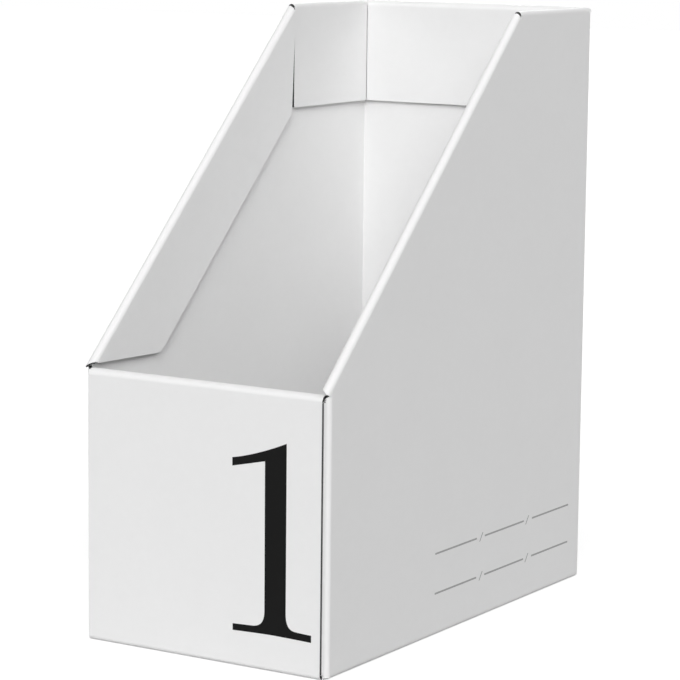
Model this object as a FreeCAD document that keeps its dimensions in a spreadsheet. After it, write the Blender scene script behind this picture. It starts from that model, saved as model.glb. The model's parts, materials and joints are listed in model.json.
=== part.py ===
"""Magazine holder of fine-flute corrugated board, folded up from one die-cut blank without glue.

Millimetres. +Z is up, -Y is the low front and +X is the right-hand side seen from the front. The origin is on
the ground under the middle of the holder. A panel is a flat plate of board, a crease is a quarter ring of board
and a roll is the half ring of a hem, where a flap is folded right back against its own panel.
"""

import FreeCAD
import Part
import os
import Sketcher

# Driving sizes: alias, value and meaning.
SIZES = (
    ("outer_width", 142.0, "across the outer faces of the two sides"),
    ("outer_depth", 262.0, "from the front face to the back face"),
    ("full_height", 310.0, "ground to the top of the back"),
    ("front_height", 137.0, "ground to the top of the front roll"),
    ("slope_over_front", 1.0, "height of the slope's outer line over the front roll, at the front face"),
    ("top_land", 81.0, "level stretch of a side's top edge, from the back face to the vertex"),
    ("board", 2.0, "thickness of the board"),
    ("bend_inside", 0.4, "inside radius of a crease"),
    ("hem_gap", 0.5, "space between the two layers of a side hem"),
    ("layer_play", 0.3, "play on each face of a tab that is held between two layers"),
    ("edge_play", 0.6, "play at the free edges of a panel that stands between two others"),
    ("hinge_play", 0.2, "space between the edge of a flap and the end of its roll"),
    ("flap_lift", 0.5, "space between the front roll and the lower edge of a slope flap"),
    ("die_cut", 1.5, "width of the slit between two neighbouring flaps"),
    ("slope_flap_width", 40.5, "width of a slope flap, square to the slope, with its roll"),
    ("top_flap_height", 55.5, "height of a side's top flap, with its roll"),
    ("back_flap_height", 55.5, "height of the back flap, with its roll"),
    ("front_tab_gap", 17.2, "space between the ends of the two tabs inside the front"),
    ("rear_tab_gap", 5.2, "space between the ends of the two tabs inside the back"),
    ("tab_corner", 6.0, "radius of a tab's free corners"),
    ("flap_corner", 1.0, "radius of a flap's free corners"),
    ("crease_foot", 1.0, "height of the lower end of the upright creases"),
)

doc = FreeCAD.newDocument("MagazineHolder")
sheet = doc.addObject("Spreadsheet::Sheet", "Sizes")
for row, (alias, value, meaning) in enumerate(SIZES, start=1):
    sheet.set(f"A{row}", alias)
    sheet.set(f"B{row}", str(value))
    sheet.set(f"C{row}", meaning)
    sheet.setAlias(f"B{row}", alias)
doc.recompute()

# Formulas that several panels share.
BOARD = "Sizes.board"
HALF_WIDTH = "Sizes.outer_width / 2"
HALF_DEPTH = "Sizes.outer_depth / 2"
CREASE = "(Sizes.board + Sizes.bend_inside)"
SIDE_BORE = "(Sizes.hem_gap / 2)"
SIDE_ROLL = f"(Sizes.board + {SIDE_BORE})"
END_BORE = "(Sizes.board / 2 + Sizes.layer_play)"
END_ROLL = f"(Sizes.board + {END_BORE})"

# The tabs of the sides stand one board and its play behind the faces of the front and the back.
TAB_FACE = f"({HALF_DEPTH} - {BOARD} - Sizes.layer_play)"
SIDE_END = f"({TAB_FACE} - {CREASE})"
TAB_ROOT = f"({HALF_WIDTH} - {CREASE})"
TAB_FOOT = f"({BOARD} + Sizes.layer_play)"
END_PANEL = f"({TAB_ROOT} - Sizes.edge_play)"
INSIDE_HEMS = f"({HALF_WIDTH} - 2 * {SIDE_ROLL} - Sizes.edge_play)"

# Heights and places of the rolls' centre lines.
SIDE_AXIS_X = f"({HALF_WIDTH} - {SIDE_ROLL})"
SIDE_AXIS_Z = f"(Sizes.full_height - {SIDE_ROLL})"
END_AXIS_Y = f"({HALF_DEPTH} - {END_ROLL})"
FRONT_AXIS_Z = f"(Sizes.front_height - {END_ROLL})"
BACK_AXIS_Z = f"(Sizes.full_height - {END_ROLL})"
BACK_HEM_FACE = f"({HALF_DEPTH} - 2 * {END_ROLL})"

# The slope runs from the plane of the front face up to the vertex.
VERTEX_Y = f"({HALF_DEPTH} - Sizes.top_land)"
SLOPE_FOOT = "(Sizes.front_height + Sizes.slope_over_front)"
SLOPE_RISE = f"(Sizes.full_height - {SLOPE_FOOT})"
SLOPE_RUN = "(Sizes.outer_depth - Sizes.top_land)"
SLOPE = f"atan({SLOPE_RISE} / {SLOPE_RUN})"
SLOPE_LENGTH = f"sqrt({SLOPE_RISE}^2 + {SLOPE_RUN}^2)"
FLAP_FOOT = "(Sizes.front_height + Sizes.flap_lift)"
FLAP_HEAD_Y = f"({VERTEX_Y} - Sizes.die_cut / 2)"
TOP_FLAP_FRONT = f"({VERTEX_Y} + Sizes.die_cut / 2)"
TOP_FLAP_REAR = f"({BACK_HEM_FACE} - Sizes.edge_play)"

# Quarters of a turn in a sketch, anticlockwise from its own first axis.
EAST, NORTH, WEST, SOUTH = range(4)
DIRECTIONS = ((1, 0), (0, 1), (-1, 0), (0, -1))
LEFT, RIGHT = -1, 1
SIDES = (("left", LEFT), ("right", RIGHT))


def slope_height(depth, inset):
    """Height, at a given Y, of the line that runs inside the slope's outer line at a distance inset."""
    return f"({SLOPE_FOOT} + ({depth} + {HALF_DEPTH}) * tan({SLOPE}) - ({inset}) / cos({SLOPE}))"


def slope_depth(height, inset):
    """The Y at which that line has a given height."""
    return f"((({height}) - {SLOPE_FOOT} + ({inset}) / cos({SLOPE})) / tan({SLOPE}) - {HALF_DEPTH})"


def measure(formula):
    """A formula's present value, with which a sketch is drawn before it is bound to the formula."""
    value = sheet.evalExpression(formula)
    return float(getattr(value, "Value", value))


def beside(side, near, far):
    """The stretch of X between two distances from the middle, on the left or on the right."""
    return (f"({near})", f"({far})") if side == RIGHT else (f"-({far})", f"-({near})")


def new_sketch(body, plane, span):
    """A sketch on one of the body's origin planes, moved along its normal to the start of a stretch."""
    sketch = body.newObject("Sketcher::SketchObject", body.Name + "_profile")
    origin_plane = next(f for f in body.Origin.OriginFeatures if f.Role == plane)
    sketch.AttachmentSupport = [(origin_plane, "")]
    sketch.MapMode = "FlatFace"
    facing = "-" if plane == "XZ_Plane" else ""
    sketch.setExpression("AttachmentOffset.Base.z", f"{facing}({span[0]})")
    return sketch


def place(sketch, geometry, point, formulas):
    """Hold a point of a sketch at two formulas, measured from the sketch's origin."""
    for kind, formula in zip(("DistanceX", "DistanceY"), formulas):
        constraint = Sketcher.Constraint(kind, -1, 1, geometry, point, measure(formula))
        index = sketch.addConstraint(constraint)
        sketch.setExpression(f"Constraints[{index}]", formula)


def pad(body, sketch, plane, span):
    """Pad a sketch over a stretch of the axis that is normal to its plane."""
    feature = body.newObject("PartDesign::Pad", body.Name + "_pad")
    feature.Profile = sketch
    feature.Reversed = plane == "XZ_Plane"
    feature.setExpression("Length", f"({span[1]}) - ({span[0]})")
    sketch.Visibility = False
    return body


def new_body(name):
    body = doc.addObject("PartDesign::Body", name)
    body.Label = name
    return body


def panel(name, plane, span, corners):
    """A flat piece of board with straight edges between its corners."""
    body = new_body(name)
    sketch = new_sketch(body, plane, span)
    points = [FreeCAD.Vector(measure(first), measure(second), 0) for first, second in corners]
    for start, end in zip(points, points[1:] + points[:1]):
        sketch.addGeometry(Part.LineSegment(start, end), False)
    count = len(points)
    for edge in range(count):
        sketch.addConstraint(Sketcher.Constraint("Coincident", edge, 2, (edge + 1) % count, 1))
    for edge, corner in enumerate(corners):
        place(sketch, edge, 1, corner)
    return pad(body, sketch, plane, span)


def round_corners(body, plane, corners, radius):
    """Round the edges of a padded panel that stand on the given corners of its outline."""
    doc.recompute()
    blank = body.Tip
    axes = {"XY_Plane": (0, 1), "XZ_Plane": (0, 2), "YZ_Plane": (1, 2)}[plane]
    places = [(measure(first), measure(second)) for first, second in corners]
    names = []
    for number, edge in enumerate(blank.Shape.Edges, start=1):
        ends = [vertex.Point for vertex in edge.Vertexes]
        for spot in places:
            if all(abs(end[axis] - at) < 1e-6 for end in ends for axis, at in zip(axes, spot)):
                names.append(f"Edge{number}")
    feature = body.newObject("PartDesign::Fillet", body.Name + "_corners")
    feature.Base = (blank, names)
    feature.setExpression("Radius", radius)
    return body


def rectangle(first_span, second_span):
    """The four corners of a panel that has square corners."""
    (left, right), (low, high) = first_span, second_span
    return ((left, low), (right, low), (right, high), (left, high))


def bend(name, plane, span, centre, bore, start, quarters):
    """A bend of the board about a centre line: a ring of one or two quarters, padded along the fold."""
    body = new_body(name)
    sketch = new_sketch(body, plane, span)
    middle = FreeCAD.Vector(measure(centre[0]), measure(centre[1]), 0)
    ends = (start, (start + quarters) % 4)
    for radius in (f"{bore} + {BOARD}", bore):
        circle = Part.Circle(middle, FreeCAD.Vector(0, 0, 1), measure(radius))
        quarter = circle.LastParameter / 4
        arc = Part.ArcOfCircle(circle, start * quarter, (start + quarters) * quarter)
        index = sketch.addGeometry(arc, False)
        size = sketch.addConstraint(Sketcher.Constraint("Radius", index, measure(radius)))
        sketch.setExpression(f"Constraints[{size}]", radius)
        for point, heading in zip((1, 2), ends):
            level = "Horizontal" if heading in (EAST, WEST) else "Vertical"
            sketch.addConstraint(Sketcher.Constraint(level, index, 3, index, point))
    place(sketch, 0, 3, centre)
    sketch.addConstraint(Sketcher.Constraint("Coincident", 0, 3, 1, 3))
    for point, heading in zip((1, 2), ends):
        out = FreeCAD.Vector(*DIRECTIONS[heading], 0)
        outer, inner = (middle + out * measure(radius) for radius in (f"{bore} + {BOARD}", bore))
        index = sketch.addGeometry(Part.LineSegment(outer, inner), False)
        sketch.addConstraint(Sketcher.Constraint("Coincident", 0, point, index, 1))
        sketch.addConstraint(Sketcher.Constraint("Coincident", 1, point, index, 2))
    return pad(body, sketch, plane, span)


def flap(name, plane, span, corners):
    """A panel that hangs from a roll: its two lower corners, given first, are free and rounded."""
    return round_corners(panel(name, plane, span, corners), plane, corners[:2], "Sizes.flap_corner")


def make_floor():
    """The floor and the creases along its four edges."""
    crease_width = (f"-{END_PANEL}", END_PANEL)
    crease_depth = (f"-{SIDE_END}", SIDE_END)
    edge_depth = f"({HALF_DEPTH} - {CREASE})"
    outline = rectangle((f"-{TAB_ROOT}", TAB_ROOT), (f"-{edge_depth}", edge_depth))
    bore = "Sizes.bend_inside"
    return [
        panel("floor_panel", "XY_Plane", ("0", BOARD), outline),
        bend("floor_left_crease", "XZ_Plane", crease_depth, (f"-{TAB_ROOT}", CREASE), bore, WEST, 1),
        bend("floor_right_crease", "XZ_Plane", crease_depth, (TAB_ROOT, CREASE), bore, SOUTH, 1),
        bend("floor_front_crease", "YZ_Plane", crease_width, (f"-{edge_depth}", CREASE), bore, WEST, 1),
        bend("floor_back_crease", "YZ_Plane", crease_width, (edge_depth, CREASE), bore, SOUTH, 1),
    ]


def make_front():
    """The front: an outer layer, the roll on top and an inner layer that comes down to the floor."""
    face = (f"-{HALF_DEPTH}", f"-({HALF_DEPTH} - {BOARD})")
    width = (f"-{END_PANEL}", END_PANEL)
    inner_depth = (f"-({END_AXIS_Y} - {END_BORE})", f"-{BACK_HEM_FACE}")
    inner_width = (f"-{INSIDE_HEMS}", INSIDE_HEMS)
    inner_height = (TAB_FOOT, f"({FRONT_AXIS_Z} - Sizes.hinge_play)")
    axis = (f"-{END_AXIS_Y}", FRONT_AXIS_Z)
    return [
        panel("front_outer_panel", "XZ_Plane", face, rectangle(width, (CREASE, FRONT_AXIS_Z))),
        bend("front_top_roll", "YZ_Plane", width, axis, END_BORE, EAST, 2),
        flap("front_inner_panel", "XZ_Plane", inner_depth, rectangle(inner_width, inner_height)),
    ]


def make_back():
    """The back: one layer with the roll on top and a flap that hangs over the rear tabs."""
    face = (f"({HALF_DEPTH} - {BOARD})", HALF_DEPTH)
    width = (f"-{END_PANEL}", END_PANEL)
    flap_depth = (BACK_HEM_FACE, f"({BACK_HEM_FACE} + {BOARD})")
    flap_width = (f"-{INSIDE_HEMS}", INSIDE_HEMS)
    flap_height = ("(Sizes.full_height - Sizes.back_flap_height)", f"({BACK_AXIS_Z} - Sizes.hinge_play)")
    axis = (END_AXIS_Y, BACK_AXIS_Z)
    return [
        panel("back_panel", "XZ_Plane", face, rectangle(width, (CREASE, BACK_AXIS_Z))),
        bend("back_top_roll", "YZ_Plane", width, axis, END_BORE, EAST, 2),
        flap("back_top_flap", "XZ_Plane", flap_depth, rectangle(flap_width, flap_height)),
    ]


def make_side(name, side):
    """A side panel with a tab at each end, and the upright creases that turn the tabs inwards."""
    wall = beside(side, f"{HALF_WIDTH} - {BOARD}", HALF_WIDTH)
    outline = (
        (f"-{SIDE_END}", CREASE),
        (SIDE_END, CREASE),
        (SIDE_END, SIDE_AXIS_Z),
        (slope_depth(SIDE_AXIS_Z, SIDE_ROLL), SIDE_AXIS_Z),
        (f"-{SIDE_END}", slope_height(f"-{SIDE_END}", SIDE_ROLL)),
    )
    made = [panel(f"{name}_side_panel", "YZ_Plane", wall, outline)]
    corner_x = TAB_ROOT if side == RIGHT else f"-{TAB_ROOT}"
    front_top = f"({FRONT_AXIS_Z} - Sizes.layer_play)"
    rear_top = f"({BACK_AXIS_Z} - Sizes.layer_play)"
    front_heading, rear_heading = (SOUTH, EAST) if side == RIGHT else (WEST, NORTH)
    ends = (
        ("front", "-", "Sizes.front_tab_gap", front_top, f"({FLAP_FOOT} - Sizes.die_cut)", front_heading),
        ("rear", "", "Sizes.rear_tab_gap", rear_top, rear_top, rear_heading),
    )
    for end, sign, tab_gap, tab_top, crease_top, heading in ends:
        centre = (corner_x, f"{sign}{SIDE_END}")
        crease_height = ("Sizes.crease_foot", crease_top)
        crease = f"{name}_{end}_crease"
        made.append(bend(crease, "XY_Plane", crease_height, centre, "Sizes.bend_inside", heading, 1))
        layers = sorted((f"{sign}{TAB_FACE}", f"{sign}({TAB_FACE} - {BOARD})"), key=measure)
        reach = beside(side, f"{tab_gap} / 2", TAB_ROOT)
        tip = reach[0] if side == RIGHT else reach[1]
        tab = panel(f"{name}_{end}_tab", "XZ_Plane", layers, rectangle(reach, (TAB_FOOT, tab_top)))
        free_corners = ((tip, TAB_FOOT), (tip, tab_top))
        made.append(round_corners(tab, "XZ_Plane", free_corners, "Sizes.tab_corner"))
    return made


def make_top_hem(name, side):
    """The hem on the level stretch of a side's top edge."""
    length = (TOP_FLAP_FRONT, TOP_FLAP_REAR)
    axis_x = SIDE_AXIS_X if side == RIGHT else f"-{SIDE_AXIS_X}"
    layer = beside(side, f"{HALF_WIDTH} - 2 * {SIDE_ROLL}", f"{SIDE_AXIS_X} - {SIDE_BORE}")
    height = ("(Sizes.full_height - Sizes.top_flap_height)", f"({SIDE_AXIS_Z} - Sizes.hinge_play)")
    return [
        bend(f"{name}_top_roll", "XZ_Plane", length, (axis_x, SIDE_AXIS_Z), SIDE_BORE, EAST, 2),
        flap(f"{name}_top_flap", "YZ_Plane", layer, rectangle(length, height)),
    ]


def make_slope_hem(name, side):
    """The hem on the slope: its roll and flap end level above the front and upright at the vertex."""
    layer = beside(side, f"{HALF_WIDTH} - 2 * {SIDE_ROLL}", f"{SIDE_AXIS_X} - {SIDE_BORE}")
    root = f"{SIDE_ROLL} + Sizes.hinge_play"
    width = "Sizes.slope_flap_width"
    outline = (
        (slope_depth(FLAP_FOOT, width), FLAP_FOOT),
        (FLAP_HEAD_Y, slope_height(FLAP_HEAD_Y, width)),
        (FLAP_HEAD_Y, slope_height(FLAP_HEAD_Y, root)),
        (slope_depth(FLAP_FOOT, root), FLAP_FOOT),
    )
    hem = flap(f"{name}_slant_flap", "YZ_Plane", layer, outline)

    # The roll is drawn in its own frame, along +Y, and then tilted so that +Y climbs the slope.
    length = (f"-2 * {SIDE_ROLL}", f"({SLOPE_LENGTH} + 2 * {SIDE_ROLL})")
    tube = bend(f"{name}_slant_tube", "XZ_Plane", length, ("0", "0"), SIDE_BORE, EAST, 2)
    tube.Placement.Rotation = FreeCAD.Rotation(FreeCAD.Vector(1, 0, 0), measure(SLOPE))
    tube.setExpression("Placement.Rotation.Angle", SLOPE)
    tube.setExpression("Placement.Base.x", SIDE_AXIS_X if side == RIGHT else f"-{SIDE_AXIS_X}")
    tube.setExpression("Placement.Base.y", f"{SIDE_ROLL} * sin({SLOPE}) - {HALF_DEPTH}")
    tube.setExpression("Placement.Base.z", f"{SLOPE_FOOT} - {SIDE_ROLL} * cos({SLOPE})")

    # What stays of it lies above the flap's foot, behind the face of the front tab and before the slit.
    reach = beside(side, f"{HALF_WIDTH} - 3 * {SIDE_ROLL}", f"{HALF_WIDTH} + {SIDE_ROLL}")
    stays = rectangle((f"-{TAB_FACE}", FLAP_HEAD_Y), (FLAP_FOOT, f"(Sizes.full_height + {SIDE_ROLL})"))
    trim = panel(f"{name}_slant_trim", "YZ_Plane", reach, stays)
    roll = doc.addObject("Part::Common", f"{name}_slant_roll")
    roll.Label = f"{name}_slant_roll"
    roll.Base = tube
    roll.Tool = trim
    return [hem, roll]


def check(pieces):
    """Stop if a feature failed or a piece is not one sound solid."""
    for item in doc.Objects:
        if {"Invalid", "Error"} & set(item.State):
            raise RuntimeError(f"{item.Name} failed: {item.State}")
    for piece in pieces:
        shape = piece.Shape
        if shape.isNull() or not shape.isValid() or len(shape.Solids) != 1:
            raise RuntimeError(f"{piece.Label} is not one valid solid")


def main():
    pieces = make_floor() + make_front() + make_back()
    for name, side in SIDES:
        pieces += make_side(name, side) + make_top_hem(name, side) + make_slope_hem(name, side)
    doc.recompute()
    check(pieces)
    os.makedirs("parts", exist_ok=True)
    for piece in pieces:
        piece.Shape.exportStep(f"parts/{piece.Label}.step")
    print(f"{len(pieces)} pieces written")


main()
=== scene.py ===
import json
from contextlib import contextmanager
from math import atan2, cos, pi, radians, sin

import bmesh
import bpy
from mathutils import Matrix, Vector

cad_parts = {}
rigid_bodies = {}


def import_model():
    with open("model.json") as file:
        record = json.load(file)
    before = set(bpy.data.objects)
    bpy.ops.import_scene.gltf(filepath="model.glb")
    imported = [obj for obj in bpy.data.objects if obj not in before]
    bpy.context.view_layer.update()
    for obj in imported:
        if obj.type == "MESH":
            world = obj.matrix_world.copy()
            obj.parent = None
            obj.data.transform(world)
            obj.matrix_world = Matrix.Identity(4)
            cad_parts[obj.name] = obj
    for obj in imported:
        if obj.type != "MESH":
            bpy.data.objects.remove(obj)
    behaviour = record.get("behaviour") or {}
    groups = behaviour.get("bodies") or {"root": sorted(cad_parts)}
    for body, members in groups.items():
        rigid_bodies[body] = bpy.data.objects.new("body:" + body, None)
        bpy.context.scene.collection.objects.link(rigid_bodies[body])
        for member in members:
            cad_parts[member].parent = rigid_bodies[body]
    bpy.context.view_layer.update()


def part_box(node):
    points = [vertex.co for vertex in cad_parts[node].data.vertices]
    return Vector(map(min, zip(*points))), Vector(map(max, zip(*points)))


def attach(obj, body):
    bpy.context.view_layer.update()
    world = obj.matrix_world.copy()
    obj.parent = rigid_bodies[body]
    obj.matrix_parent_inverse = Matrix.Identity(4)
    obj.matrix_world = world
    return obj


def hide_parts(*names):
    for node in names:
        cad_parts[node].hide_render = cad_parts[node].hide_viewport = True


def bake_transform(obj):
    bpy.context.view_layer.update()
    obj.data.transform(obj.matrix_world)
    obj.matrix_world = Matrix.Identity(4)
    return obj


# Magazine holder folded up from white coated corrugated board. Metres, +Z up, -Y the low front.
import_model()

# The board: two liners with the wave of the fluting between them, hollow along its raw edges.
BOARD = 0.0020
LINER = 0.00013
CRUSHED = 0.00011
HOLLOW = 0.0018
DEEP_HOLLOW = 0.0045
FLUTE_PITCH = 0.0032
FLUTING = 0.00016
FLUTING_END = 0.002
WAVE_STEPS = 8
RIM_STEPS = 2

# The finishes, how light and how rough each is.
COATING, COATING_ROUGHNESS = 0.89, 0.46
# The raw fibre is darker than bare board fibre: painted shade for the gaps and hollows along the cut edges.
RAW_FIBRE_AND_SHADE, RAW_FIBRE_ROUGHNESS = 0.10, 0.9
BLACK, GREY, INK_ROUGHNESS, INK_SHEEN = 0.009, 0.405, 0.42, 0.1

# The patches in them: their size, how far they sway the shade and the roughness, and their relief's height.
CLOUDS, CLOUD_SHADE = 0.030, 0.020
MOTTLE, MOTTLE_SHADE, MOTTLE_ROUGHNESS, MOTTLE_RELIEF = 0.0045, 0.022, 0.10, 0.000012
GRAIN, GRAIN_SHADE, GRAIN_ROUGHNESS, GRAIN_RELIEF = 0.0005, 0.016, 0.06, 0.000010
FIBRES, FIBRE_SHADE, FIBRE_RELIEF = 0.0004, 0.06, 0.00004
INK_GRAIN_SHADE, INK_GRAIN_ROUGHNESS = 0.35, 0.08
RIPPLE = 0.0000022

# The blank's folds and corners: inside radii of folds, radii of corners, the steps in a quarter turn, and the
# angle between faces, in degrees, up to which a fold is shaded smooth.
CREASE_BORE = 0.0004
SIDE_BORE = 0.00025
SLOPE_BORE = 0.00065
END_BORE = 0.0013
FOLD_STEPS = 24
SMOOTH_UNDER = 15
FLAP_CORNER = 0.0010
TAB_CORNER = 0.0060
CORNER_STEPS = 6

# Where neighbours end: the room between them, how far a piece reaches from the middle of the holder, and how
# steeply its end is cut.
CREASE_CLEAR = 0.0003
CREASE_FALL = 0.3
HEMS_APART = 0.0010
REAR_SEAM = 0.0003
BACK_FLAP_REACH = 0.06645
FRONT_INNER_REACH = 0.0655
END_ROLL_REACH = 0.0681
END_ROLL_SLANT = 1.5

# The holder's outer size.
WIDTH = 0.142
DEPTH = 0.262
HEIGHT = 0.310

# The slope of the sides. A slanting plane through ROLL_FOOT trims its roll over the front, and a notch at the
# vertex. A slit that widens downwards parts its flap from the one behind.
SLOPE_FOOT = 0.138
TOP_LAND = 0.081
SLOPE_ROLL = BOARD + SLOPE_BORE
SLOPE = atan2(HEIGHT - SLOPE_FOOT, DEPTH - TOP_LAND)
UPHILL = Vector((0, cos(SLOPE), sin(SLOPE)))
OFF_SLOPE = Vector((0, -sin(SLOPE), cos(SLOPE)))
SLOPE_AXIS = Vector((0, -DEPTH / 2, SLOPE_FOOT)) - OFF_SLOPE * SLOPE_ROLL
SLOPE_CUT = (SLOPE_AXIS, OFF_SLOPE)
SLOPE_FLAP_WIDTH = 0.0405
SLOPE_FLAP_SETBACK = 0.0015
SLOPE_FLAP_RISE = 0.028
ROLL_FOOT = Vector((0, -DEPTH / 2, 0.1374))
ROLL_FOOT_RISE = Vector((0.7, 0.3, 1))
ROLL_NOTCH = 115
ROLL_BLANK = (0.01, 0.2)
ROLL_END_ZONE = 1.1 * DEEP_HOLLOW
SLIT_OFFSET = 0.0001
SLIT_WIDENING = 0.052

# Cosines over ALIGNED count as one direction and under SQUARE as a right angle. The others are distances.
ALIGNED = 0.99
SQUARE = 0.05
NEAR = 1e-5
TOUCHING = 1e-6

RIGHT, BACK, UP = Vector((1, 0, 0)), Vector((0, 1, 0)), Vector((0, 0, 1))
SIDES = (("left", -RIGHT), ("right", RIGHT))


# Materials.


class Wire:
    """A value in a material. Arithmetic on it adds Math nodes."""

    def __init__(self, finish, socket):
        self.finish = finish
        self.socket = socket

    def math(self, operation, first, second):
        return self.finish.node("Math", {"operation": operation}, {0: first, 1: second})

    def __add__(self, other):
        return self.math("ADD", self, other)

    def __sub__(self, other):
        return self.math("SUBTRACT", self, other)

    def __mul__(self, other):
        return self.math("MULTIPLY", self, other)

    __radd__ = __add__


class Finish:
    """A material and the nodes in it."""

    def __init__(self, name):
        self.material = bpy.data.materials.new(name)
        self.material.use_nodes = True
        self.nodes = self.material.node_tree.nodes
        self.links = self.material.node_tree.links
        self.shader = self.nodes["Principled BSDF"]

    def node(self, kind, settings=None, inputs=None, output=0):
        """Add a node: its settings, then the values or links of its sockets. Returns one of its outputs."""
        made = self.nodes.new("ShaderNode" + kind)
        for name, value in (settings or {}).items():
            setattr(made, name, value)
        for socket, value in (inputs or {}).items():
            self.put(made.inputs[socket], value)
        return Wire(self, made.outputs[output])

    def put(self, socket, value):
        if isinstance(value, Wire):
            self.links.new(value.socket, socket)
        else:
            socket.default_value = value

    def set(self, **sockets):
        """Set the shader's sockets; an underscore in a name stands for a space."""
        for name, value in sockets.items():
            self.put(self.shader.inputs[name.replace("_", " ")], value)
        return self.material

    def place(self):
        return self.node("TexCoord", output="Object")

    def noise(self, place, size, detail=2.0):
        """Cloudy noise from 0 to 1 whose patches are about as large as size."""
        return self.node("TexNoise", None, {"Vector": place, "Scale": 1 / size, "Detail": detail})

    def grey(self, value):
        """A grey colour from a value."""
        return self.node("CombineColor", None, {0: value, 1: value, 2: value})

    def raised(self, height):
        """The normal of a face with a fine relief of this height."""
        return self.node("Bump", None, {"Strength": 1.0, "Distance": 1.0, "Height": height})


def sway(noise, span):
    """A value that a noise sways about zero, over a span."""
    return (noise - 0.5) * span


def coated_board(name, flutes):
    """White coated liner: faint clouds, paper grain, and flutes that show through as a very low ripple."""
    finish = Finish(name)
    place = finish.place()
    clouds = finish.noise(place, CLOUDS)
    mottle = finish.noise(place, MOTTLE, 3.0)
    grain = finish.noise(place, GRAIN)
    shade = COATING + sway(clouds, CLOUD_SHADE) + sway(mottle, MOTTLE_SHADE) + sway(grain, GRAIN_SHADE)
    across = finish.node("VectorMath", {"operation": "DOT_PRODUCT"}, {0: place, 1: flutes}, output="Value")
    ripple = finish.node("Math", {"operation": "SINE"}, {0: across * (2 * pi / FLUTE_PITCH)})
    relief = ripple * RIPPLE + sway(grain, GRAIN_RELIEF) + sway(mottle, MOTTLE_RELIEF)
    roughness = COATING_ROUGHNESS + sway(mottle, MOTTLE_ROUGHNESS) + sway(grain, GRAIN_ROUGHNESS)
    return finish.set(Base_Color=finish.grey(shade), Roughness=roughness, Normal=finish.raised(relief))


def raw_core_and_shade():
    """Uncoated grey fibre inside the board, seen along its cut edges. Its tone is darker than bare fibre:
    painted shade for the deep gaps and hollows there.
    """
    finish = Finish("raw_core_and_shade")
    place = finish.place()
    fibres = finish.noise(place, FIBRES, 3.0)
    shade = RAW_FIBRE_AND_SHADE + sway(fibres, FIBRE_SHADE)
    relief = finish.raised(fibres * FIBRE_RELIEF)
    return finish.set(Base_Color=finish.grey(shade), Roughness=RAW_FIBRE_ROUGHNESS, Normal=relief)


def ink(name, tone):
    """A printed film of ink that lets a little of the paper's grain through."""
    finish = Finish(name)
    place = finish.place()
    grain = finish.noise(place, GRAIN)
    shade = tone + sway(grain, tone * INK_GRAIN_SHADE)
    roughness = INK_ROUGHNESS + sway(grain, INK_GRAIN_ROUGHNESS)
    relief = finish.raised(grain * GRAIN_RELIEF)
    return finish.set(Base_Color=finish.grey(shade), Roughness=roughness, Normal=relief,
                      Specular_IOR_Level=INK_SHEEN)


ends_liner = coated_board("coated_board_front_and_back", RIGHT)
sides_liner = coated_board("coated_board_sides", UP)
slope_flap_liner = coated_board("coated_board_slope_flaps", Vector((0, sin(2 * SLOPE), -cos(2 * SLOPE))))
# The core's fibre, darkened with painted shade for the gaps and hollows along the cut edges.
core_and_shade = raw_core_and_shade()
black_ink = ink("black_ink", BLACK)
grey_ink = ink("grey_ink", GREY)


# Modelling.


@contextmanager
def editing(piece):
    """Edit mode on one piece."""
    bpy.ops.object.select_all(action="DESELECT")
    bpy.context.view_layer.objects.active = piece
    piece.select_set(True)
    bpy.ops.object.mode_set(mode="EDIT")
    yield
    bpy.ops.object.mode_set(mode="OBJECT")


def new_piece(name, liner):
    """Name the primitive that was just added, put its place into its mesh and give it its two materials."""
    piece = bpy.context.object
    piece.name = piece.data.name = name
    bpy.ops.object.transform_apply(location=True, rotation=True, scale=True)
    piece.data.materials.append(liner)
    piece.data.materials.append(core_and_shade)
    return piece


def pick(piece, kind, wanted):
    """In edit mode, select the faces or edges of a piece that are wanted, and only those."""
    bpy.ops.mesh.select_mode(type=kind)
    bpy.ops.mesh.select_all(action="DESELECT")
    shape = bmesh.from_edit_mesh(piece.data)
    shape.normal_update()
    for part in shape.faces if kind == "FACE" else shape.edges:
        part.select_set(wanted(part))
    shape.select_flush_mode()
    bmesh.update_edit_mesh(piece.data)


def cut_off(piece, point, outward):
    """Trim a closed piece by a plane and close the cut."""
    with editing(piece):
        bpy.ops.mesh.select_all(action="SELECT")
        bpy.ops.mesh.bisect(plane_co=point, plane_no=outward, clear_outer=True, use_fill=True)


def crush_rims(piece, raw, joined):
    """Bevel the edges between the raw faces and the liners, which the die has pressed down."""

    def rim(edge):
        cut = [raw(face) for face in edge.link_faces]
        return sum(cut) == 1 and not joined(edge.link_faces[cut.index(False)])

    pick(piece, "EDGE", rim)
    bpy.ops.mesh.bevel(offset=CRUSHED, segments=RIM_STEPS, affect="EDGES")


def line_hollow(piece):
    """Give the hollow that was just sunk the fibre of the core, whose dark tone is partly painted shade."""
    bpy.ops.mesh.select_more()
    piece.active_material_index = 1
    bpy.ops.object.material_slot_assign()


def keep_inside(piece, joints, joined_at):
    """Move the bottom of a hollow back where it came out through a joined edge that runs at a slant."""
    shape = bmesh.from_edit_mesh(piece.data)
    for joint, edge in zip(joints, joined_at):
        for vertex in shape.verts:
            past = vertex.co.dot(joint) - edge + LINER
            if vertex.select and past > 0:
                vertex.co -= joint * past
    bmesh.update_edit_mesh(piece.data)


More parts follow.
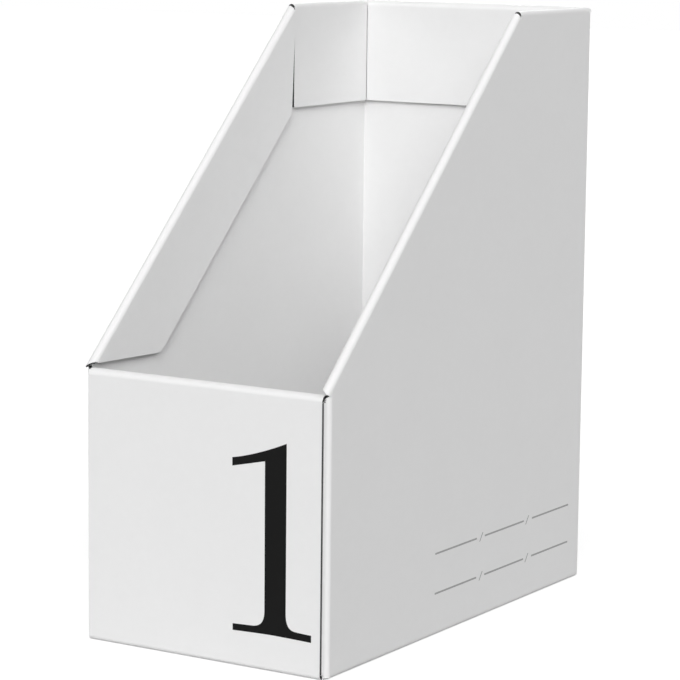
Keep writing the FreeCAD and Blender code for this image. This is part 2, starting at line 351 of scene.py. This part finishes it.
def add_fluting(piece, start, end, outward, thickness, pitch=FLUTE_PITCH):
    """Stand the wave of the fluting in the hollow of a raw edge that crosses the flutes."""
    along = (end - start).normalized()
    length = (end - start).length
    waves = round(length / pitch)
    middle = (start + end) / 2 - outward * (HOLLOW / 2 + LINER / 2)
    bpy.ops.object.select_all(action="DESELECT")
    bpy.ops.mesh.primitive_grid_add(x_subdivisions=waves * WAVE_STEPS, y_subdivisions=1, size=1)
    wave = bpy.context.object
    turn = Matrix((along, outward, along.cross(outward))).transposed().to_4x4()
    wave.matrix_world = Matrix.Translation(middle) @ turn
    wave.scale = (length, HOLLOW - LINER, 1)
    bpy.ops.object.transform_apply(location=True, rotation=True, scale=True)
    for vertex in wave.data.vertices:
        phase = (vertex.co - start).dot(along) / length * waves * 2 * pi
        vertex.co += thickness * sin(phase) * (BOARD / 2 - CRUSHED - LINER)
    wall = wave.modifiers.new("wall", "SOLIDIFY")
    wall.thickness = FLUTING
    wall.offset = 0
    bpy.ops.object.modifier_apply(modifier="wall")
    # The wave takes the core's fibre, darkened with painted shade.
    wave.data.materials.append(core_and_shade)
    piece.select_set(True)
    bpy.context.view_layer.objects.active = piece
    bpy.ops.object.join()


def stands_on(edge, thickness, corners):
    """Whether an edge runs through the board's thickness at one of some corners."""
    first, second = (vertex.co for vertex in edge.verts)
    if abs((second - first).normalized().dot(thickness)) < ALIGNED:
        return False
    offsets = [(first + second) / 2 - corner for corner in corners]
    return any((offset - thickness * offset.dot(thickness)).length < NEAR for offset in offsets)


def flat_board(node, liner, thickness, joints, low=None, high=None, trims=(), corners=(),
               radius=FLAP_CORNER):
    """A flat panel, in its solid's box unless low and high say otherwise, with rounded free corners.

    It is trimmed by planes. Its edges are raw cuts, apart from those that face a joint.
    """
    solid_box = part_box(node)
    low, high = Vector(low or solid_box[0]), Vector(high or solid_box[1])
    bpy.ops.object.select_all(action="DESELECT")
    bpy.ops.mesh.primitive_cube_add(size=1, location=(low + high) / 2, scale=high - low)
    piece = new_piece(node + "_board", liner)
    for point, outward in trims:
        cut_off(piece, point, outward)
    if corners:
        with editing(piece):
            pick(piece, "EDGE", lambda edge: stands_on(edge, thickness, corners))
            bpy.ops.mesh.bevel(offset=radius, segments=CORNER_STEPS, affect="EDGES")

    joined_at = [max(vertex.co.dot(joint) for vertex in piece.data.vertices) for joint in joints]

    def joined(face):
        return any(face.normal.dot(joint) > ALIGNED for joint in joints)

    def raw(face):
        return abs(face.normal.dot(thickness)) < SQUARE and not joined(face)

    with editing(piece):
        crush_rims(piece, raw, joined)
        pick(piece, "FACE", raw)
        bpy.ops.mesh.inset(thickness=LINER)
        sink = {"value": -HOLLOW, "use_even_offset": True}
        bpy.ops.mesh.extrude_region_shrink_fatten(TRANSFORM_OT_shrink_fatten=sink)
        keep_inside(piece, joints, joined_at)
        line_hollow(piece)
    return piece


def fold(node, liner, centre, axis, reach, bore, start, quarters, depth=HOLLOW):
    """A bend of the board: its cross-section, spun about the centre line from the direction start.

    The section reaches along the axis from the first to the second number in reach.
    """
    side = axis.cross(start)
    bpy.ops.object.select_all(action="DESELECT")
    bpy.ops.mesh.primitive_plane_add(size=1)
    section = bpy.context.object
    turn = Matrix((start, axis, start.cross(axis))).transposed().to_4x4()
    middle = centre + start * (bore + BOARD / 2) + axis * (reach[0] + reach[1]) / 2
    section.matrix_world = Matrix.Translation(middle) @ turn
    section.scale = (BOARD, reach[1] - reach[0], 1)
    piece = new_piece(node + "_fold", liner)
    planes = (side, start if quarters == 1 else side)
    inner, outer = bore + CRUSHED + LINER, bore + BOARD - CRUSHED - LINER

    def joined(face):
        return any(abs((face.calc_center_median() - centre).dot(plane)) < TOUCHING for plane in planes)

    def raw(face):
        return abs(face.normal.dot(axis)) > ALIGNED

    def between_liners(face, facing):
        offset = face.calc_center_median() - centre
        from_axis = (offset - axis * offset.dot(axis)).length
        return face.normal.dot(facing) > ALIGNED and inner < from_axis < outer

    with editing(piece):
        for radius in (inner, outer):
            bpy.ops.mesh.select_all(action="SELECT")
            bpy.ops.mesh.bisect(plane_co=centre + start * radius, plane_no=start)
        bpy.ops.mesh.select_all(action="SELECT")
        bpy.ops.mesh.spin(steps=quarters * FOLD_STEPS, angle=-quarters * pi / 2, center=centre, axis=axis)
        bpy.ops.mesh.select_all(action="SELECT")
        bpy.ops.mesh.normals_make_consistent(inside=False)
        crush_rims(piece, raw, joined)
        for facing in (axis, -axis):
            pick(piece, "FACE", lambda face: between_liners(face, facing))
            bpy.ops.mesh.extrude_region_move(TRANSFORM_OT_translate={"value": facing * -depth})
            line_hollow(piece)
    bpy.ops.object.shade_smooth_by_angle(angle=radians(SMOOTH_UNDER))
    return piece


def mitre(piece, axis, square_end, stop):
    """Slide one end of a fold, hollow and all, along its axis until it meets the cut that stop gives."""
    for vertex in piece.data.vertices:
        past = vertex.co.dot(axis) - square_end
        if abs(past) < ROLL_END_ZONE:
            foot = vertex.co - axis * vertex.co.dot(axis)
            vertex.co = foot + axis * (stop(foot) + past)


def solid_fold(node, liner, axis, corner, start, bore, quarters):
    """The fold that stands for a solid: corner says on which corner of its box the centre line lies."""
    low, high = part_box(node)
    middle, half = (low + high) / 2, (high - low) / 2
    centre = middle + Vector([step * size for step, size in zip(corner, half)])
    reach = half.dot(Vector([abs(part) for part in axis]))
    return fold(node, liner, centre, axis, (-reach, reach), bore, start, quarters)


def fitted(piece, node, body="holder"):
    """Let a piece of board stand for its solid and move with a body."""
    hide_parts(node)
    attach(piece, body)


def bent(piece, node, outer, inner):
    """Let a roll stand for its solid; it stays where it was built and joins no body."""
    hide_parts(node)
    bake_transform(piece)


# Floor and upright creases.

fitted(flat_board("floor_panel", ends_liner, UP, (RIGHT, -RIGHT, BACK, -BACK)), "floor_panel")
for node, outward in (("floor_left_crease", -RIGHT), ("floor_right_crease", RIGHT),
                      ("floor_front_crease", -BACK), ("floor_back_crease", BACK)):
    axis = outward.cross(UP)
    fitted(solid_fold(node, ends_liner, axis, UP - outward, -UP, CREASE_BORE, 1), node)


def slope_over_crease(foot):
    """Height of a front crease: under the roll of the slope at the wall, falling away towards the tab."""
    under_roll = SLOPE_AXIS.z + (foot.y - SLOPE_AXIS.y) * UPHILL.z / UPHILL.y - CREASE_CLEAR
    return under_roll - CREASE_FALL * (WIDTH / 2 - abs(foot.x))


for side, outward in SIDES:
    for end, facing in (("front", -BACK), ("rear", BACK)):
        node = f"{side}_{end}_crease"
        turn = UP if outward.cross(facing).z > 0 else -UP
        piece = solid_fold(node, sides_liner, turn, -outward - facing, outward, CREASE_BORE, 1)
        if end == "front":
            mitre(piece, UP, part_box(node)[1].z, slope_over_crease)
        else:
            mitre(piece, UP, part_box(node)[1].z, lambda foot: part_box(f"{side}_top_roll")[0].z - CREASE_CLEAR)
        fitted(piece, node)


# Front and back: an outer layer, the roll on top and the layer that hangs from it.

ENDS = (
    ("front_outer_panel", "front_top_roll", "front_inner_panel", "front_inner", -BACK, FRONT_INNER_REACH),
    ("back_panel", "back_top_roll", "back_top_flap", "back_flap", BACK, BACK_FLAP_REACH),
)
for outer, roll, inner, body, facing, reach in ENDS:
    fitted(flat_board(outer, ends_liner, BACK, (UP, -UP)), outer)

    low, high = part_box(roll)
    axis = facing.cross(UP)
    piece = solid_fold(roll, ends_liner, axis, -UP, facing, END_BORE, 2)
    near, far = (low, high) if facing.y > 0 else (high, low)
    bent(piece, roll, outer=(0, far.y, low.z), inner=(0, near.y, low.z))

    flap_low, flap_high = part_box(inner)
    flap_high.z = low.z
    flap_low.x, flap_high.x = -reach, reach
    corners = (flap_low, Vector((flap_high.x, flap_low.y, flap_low.z)))
    piece = flat_board(inner, ends_liner, BACK, (UP,), low=flap_low, high=flap_high, corners=corners)
    middle_y = (flap_low.y + flap_high.y) / 2
    start = Vector((flap_low.x + 2 * FLAP_CORNER, middle_y, flap_low.z))
    end = Vector((flap_high.x - 2 * FLAP_CORNER, middle_y, flap_low.z))
    add_fluting(piece, start, end, -UP, BACK)
    fitted(piece, inner, body)


# Sides: the wall, its two tabs, and the hems on the level top edge and on the slope.


def build_tab(side, outward, end):
    """The tab that turns in behind the front or the back."""
    tab = f"{side}_{end}_tab"
    low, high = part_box(tab)
    tip = low.x if outward.x > 0 else high.x
    corners = [Vector((tip, low.y, z)) for z in (low.z, high.z)]
    piece = flat_board(tab, sides_liner, BACK, (outward,), corners=corners, radius=TAB_CORNER)
    foot = Vector((tip, (low.y + high.y) / 2, low.z + TAB_CORNER + FLUTE_PITCH))
    head = Vector((tip, (low.y + high.y) / 2, high.z - TAB_CORNER - FLUTE_PITCH))
    add_fluting(piece, foot, head, -outward, BACK)
    fitted(piece, tab)


def build_level_hem(side, outward, vertex):
    """The roll and the flap of the level top edge, from the vertex to the flap of the back."""
    roll, flap, body = f"{side}_top_roll", f"{side}_top_flap", f"{side}_top"
    roll_low, roll_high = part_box(roll)
    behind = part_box("back_top_flap")[0].y - REAR_SEAM
    before = vertex + HEMS_APART / 2
    outer_x, inner_x = (roll_high.x, roll_low.x) if outward.x > 0 else (roll_low.x, roll_high.x)

    def rear_end(foot):
        """Level with the flap, and slanting back on the side of the wall."""
        return behind + END_ROLL_SLANT * max(0, foot.dot(outward) - END_ROLL_REACH)

    piece = solid_fold(roll, sides_liner, outward.cross(UP), -UP, outward, SIDE_BORE, 2)
    mitre(piece, BACK, roll_low.y, lambda foot: before)
    mitre(piece, BACK, roll_high.y, rear_end)
    bent(piece, roll, outer=(outer_x, 0, roll_low.z), inner=(inner_x, 0, roll_low.z))

    low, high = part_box(flap)
    low.y, high.y, high.z = before, behind, roll_low.z
    corners = [Vector((low.x, y, low.z)) for y in (low.y, high.y)]
    piece = flat_board(flap, sides_liner, RIGHT, (UP,), low=low, high=high, corners=corners)
    middle_x = (low.x + high.x) / 2
    for y, facing in ((low.y, -BACK), (high.y, BACK)):
        foot = Vector((middle_x, y, low.z + 2 * FLAP_CORNER))
        head = Vector((middle_x, y, high.z - FLAP_CORNER))
        add_fluting(piece, foot, head, facing, RIGHT)
    fitted(piece, flap, body)


def build_sloping_hem(side, outward, vertex):
    """The roll and the flap of the sloping edge, from over the front to the vertex."""
    roll, flap, body = f"{side}_slant_roll", f"{side}_slant_flap", f"{side}_slant"
    roll_low, roll_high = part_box(roll)
    outer_x = roll_high.x if outward.x > 0 else roll_low.x
    centre = SLOPE_AXIS + outward * (abs(outer_x) - SLOPE_ROLL)
    axis = outward.cross(OFF_SLOPE)
    ends = sorted(mark * axis.dot(UPHILL) for mark in ROLL_BLANK)

    def lower_end(foot):
        """A plane over the front that rises from the wall to the flap and falls towards the rear."""
        rise, fall, up = ROLL_FOOT_RISE
        across = abs(outer_x) - foot.dot(outward)
        below_cut = rise * across + (ROLL_FOOT - foot).dot(Vector((0, fall, up)))
        return below_cut / UPHILL.dot(Vector((0, fall, up)))

    def upper_end(foot):
        """Upright at the vertex, standing back on the flap's side so that both hems can open."""
        across = abs(outer_x) - foot.dot(outward)
        rise = max(0, (foot - SLOPE_AXIS).dot(OFF_SLOPE))
        return (vertex - HEMS_APART / 2 - foot.y) / UPHILL.y - ROLL_NOTCH * rise * across

    piece = fold(roll, slope_flap_liner, centre, axis, ends, SLOPE_BORE, outward, 2, DEEP_HOLLOW)
    base = centre.dot(UPHILL)
    mitre(piece, UPHILL, base + ROLL_BLANK[0], lower_end)
    mitre(piece, UPHILL, base + ROLL_BLANK[1], upper_end)
    bent(piece, roll, outer=centre + outward * SLOPE_ROLL, inner=centre - outward * SLOPE_ROLL)

    low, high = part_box(flap)
    inner_face = outer_x - 2 * SLOPE_ROLL * outward.x
    low.x, high.x = sorted((inner_face, inner_face + BOARD * outward.x))
    low.y += SLOPE_FLAP_SETBACK
    high.y, high.z = vertex, HEIGHT
    below = SLOPE_AXIS - OFF_SLOPE * (SLOPE_FLAP_WIDTH - SLOPE_ROLL)
    toe = below + UPHILL * ((low.z - below.z) / UPHILL.z)
    slit = Vector((0, vertex + SLIT_OFFSET, roll_high.z))
    off_slit = Vector((0, 1, -SLIT_WIDENING))
    heel = below + UPHILL * ((slit - below).dot(off_slit) / UPHILL.dot(off_slit))
    over_front = (toe.copy(), Vector((0, -SLOPE_FLAP_RISE, -1)))
    trims = [SLOPE_CUT, (below, -OFF_SLOPE), (slit, off_slit), over_front]
    piece = flat_board(flap, slope_flap_liner, RIGHT, (OFF_SLOPE,), low=low, high=high, trims=trims,
                       corners=[toe, heel])
    toe.x = heel.x = (low.x + high.x) / 2
    clear = UPHILL * FLUTING_END
    add_fluting(piece, toe + clear, heel - clear, -OFF_SLOPE, RIGHT, FLUTE_PITCH / sin(SLOPE))
    fitted(piece, flap, body)


for side, outward in SIDES:
    wall = f"{side}_side_panel"
    all_round = (BACK, -BACK, UP, -UP, OFF_SLOPE)
    fitted(flat_board(wall, sides_liner, RIGHT, all_round, trims=[SLOPE_CUT]), wall)
    for end in ("front", "rear"):
        build_tab(side, outward, end)
    vertex = (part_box(f"{side}_top_roll")[0].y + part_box(f"{side}_slant_roll")[1].y) / 2
    build_level_hem(side, outward, vertex)
    build_sloping_hem(side, outward, vertex)


# Print, in millimetres.

MILLIMETRE = 0.001
CURVE_STEPS = 12
INK_FILM = 0.03
DATE_LEVELS = (42.3, 21.8)
DASHES = ((-28.4, 13.8), (22.2, 64.2), (73.3, 114.5))
SLASHES = (18.1, 67.6)
LINE = 0.90
STROKE = 0.75
SLASH_LEAN = 1.6
SLASH_RISE = 2.2


def printed(name, finish, outlines, along, up, origin):
    """A film of ink on a face: closed outlines of points, each with the handles of its curve or none."""
    curve = bpy.data.curves.new(name, "CURVE")
    curve.dimensions = "2D"
    curve.fill_mode = "BOTH"
    curve.extrude = INK_FILM
    curve.resolution_u = CURVE_STEPS
    for outline in outlines:
        spline = curve.splines.new("BEZIER")
        spline.use_cyclic_u = True
        spline.bezier_points.add(len(outline) - 1)
        for point, (x, y, *handles) in zip(spline.bezier_points, outline):
            point.co = (x, y, 0)
            point.handle_left_type = point.handle_right_type = "FREE"
            before, after = handles or ((0, 0), (0, 0))
            point.handle_left = (x + before[0], y + before[1], 0)
            point.handle_right = (x + after[0], y + after[1], 0)
    piece = bpy.data.objects.new(name, curve)
    bpy.context.scene.collection.objects.link(piece)
    bpy.ops.object.select_all(action="DESELECT")
    bpy.context.view_layer.objects.active = piece
    piece.select_set(True)
    bpy.ops.object.convert(target="MESH")
    piece = bpy.context.object
    turn = Matrix((along, up, along.cross(up))).transposed().to_4x4()
    piece.matrix_world = Matrix.Translation(origin) @ turn @ Matrix.Scale(MILLIMETRE, 4)
    piece = new_piece(name, finish)
    with editing(piece):
        bpy.ops.mesh.select_all(action="SELECT")
        bpy.ops.mesh.remove_doubles(threshold=TOUCHING)
    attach(piece, "holder")


# The numeral on the front, from the foot of the front face's middle line.
NUMERAL = (
    (17.7, 98.2), (17.7, 102.3, (0, 0), (9, 1.6)), (48.6, 112.2, (-10, -4.4), (0, 0)),
    (48.7, 29.5, (0, 10), (0.1, -4.5)), (54.0, 21.8, (-3.8, 0.3), (3, -0.3)), (63.2, 21.4), (63.2, 17.9),
    (40.8, 18.3, (6, 0), (-6, 0)), (18.3, 17.7), (18.3, 21.0), (30.5, 21.5, (-4, -0.2), (5, 0.7)),
    (36.6, 30.0, (0, -4.5), (0, 6)), (36.4, 102.4),
)
printed("numeral_one", black_ink, [NUMERAL], RIGHT, UP, (0, -DEPTH / 2, 0))

# Blanks for two dates on the right-hand side, from the foot of its middle line.
date_lines = []
for level in DATE_LEVELS:
    bottom, top = level - LINE / 2, level + LINE / 2
    for first, last in DASHES:
        date_lines.append(((first, bottom), (last, bottom), (last, top), (first, top)))
    bottom, top = level - SLASH_RISE, level + SLASH_RISE
    for middle in SLASHES:
        foot, head = middle - SLASH_LEAN, middle + SLASH_LEAN
        date_lines.append(((foot, bottom), (foot + STROKE, bottom), (head + STROKE, top), (head, top)))
printed("date_blanks", grey_ink, date_lines, BACK, UP, (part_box("right_side_panel")[1].x, 0, 0))


# Floor, light and camera. A value ending in SEEN holds where the camera looks straight at it. Lamps: name,
# azimuth and elevation in degrees, and strength.

FLOOR_SIZE = 12
FLOOR_GREY, FLOOR_SEEN, FLOOR_ROUGHNESS = 0.50, 0.95, 0.9
FLOOR_GLOW, FLOOR_GLOW_SHARE = 1.4, 0.5
SKY_LIGHT = 0.05
SKY_SEEN = 1.0
LAMP_SPREAD = 40
LAMPS = (
    ("front_softbox", -60, 29, 2.19),
    ("left_softbox", -125, 45, 0.60),
    ("right_softbox", 0, 45, 0.57),
    ("rear_softbox", 120, 15, 0.95),
)
CAMERA_LENS = 151.15
CAMERA_SENSOR = 36
CAMERA_RANGE = 20
CAMERA_PLACE = (0.76946, -1.23735, 0.36808)
CAMERA_TURN = 0.5589
CAMERA_TILT = 0.1549
CAMERA_ROLL = 0.0107
WHITE = (1, 1, 1, 1)

bpy.ops.object.select_all(action="DESELECT")
bpy.ops.mesh.primitive_plane_add(size=FLOOR_SIZE)
ground = bpy.context.object
ground.name = "studio_floor"
paper = Finish("studio_paper")
seen = paper.node("LightPath", output="Is Camera Ray")
white = paper.node("Emission", None, {"Color": WHITE, "Strength": FLOOR_GLOW}, output="Emission")
paper.set(Base_Color=paper.grey(FLOOR_GREY + seen * (FLOOR_SEEN - FLOOR_GREY)), Roughness=FLOOR_ROUGHNESS)
lit = Wire(paper, paper.shader.outputs[0])
mixed = paper.node("MixShader", None, {0: seen * FLOOR_GLOW_SHARE, 1: lit, 2: white}, output="Shader")
paper.links.new(mixed.socket, paper.nodes["Material Output"].inputs["Surface"])
ground.data.materials.append(paper.material)

world = bpy.data.worlds.new("studio")
bpy.context.scene.world = world
world.use_nodes = True
sky = world.node_tree
rays = sky.nodes.new("ShaderNodeLightPath")
soft = sky.nodes["Background"]
soft.inputs["Color"].default_value = WHITE
soft.inputs["Strength"].default_value = SKY_LIGHT
backdrop = sky.nodes.new("ShaderNodeBackground")
backdrop.inputs["Color"].default_value = WHITE
backdrop.inputs["Strength"].default_value = SKY_SEEN
choose = sky.nodes.new("ShaderNodeMixShader")
either = sky.nodes.new("ShaderNodeMath")
either.operation = "MAXIMUM"
sky.links.new(rays.outputs["Is Camera Ray"], either.inputs[0])
sky.links.new(rays.outputs["Is Glossy Ray"], either.inputs[1])
sky.links.new(either.outputs[0], choose.inputs[0])
sky.links.new(soft.outputs[0], choose.inputs[1])
sky.links.new(backdrop.outputs[0], choose.inputs[2])
sky.links.new(choose.outputs[0], sky.nodes["World Output"].inputs["Surface"])

for name, azimuth, elevation, energy in LAMPS:
    lamp_data = bpy.data.lights.new(name, "SUN")
    lamp_data.energy = energy
    lamp_data.angle = radians(LAMP_SPREAD)
    lamp = bpy.data.objects.new(name, lamp_data)
    bpy.context.scene.collection.objects.link(lamp)
    lamp.rotation_euler = (radians(90 - elevation), 0, radians(azimuth + 90))

camera_data = bpy.data.cameras.new("camera")
camera_data.lens = CAMERA_LENS
camera_data.sensor_width = CAMERA_SENSOR
camera_data.clip_end = CAMERA_RANGE
camera = bpy.data.objects.new("camera", camera_data)
bpy.context.scene.collection.objects.link(camera)
bpy.context.scene.camera = camera
camera.location = CAMERA_PLACE
camera.rotation_euler = (Matrix.Rotation(CAMERA_TURN, 3, "Z") @ Matrix.Rotation(pi / 2 - CAMERA_TILT, 3, "X")
                         @ Matrix.Rotation(CAMERA_ROLL, 3, "Z")).to_euler()
bpy.context.scene.view_settings.view_transform = "Standard"
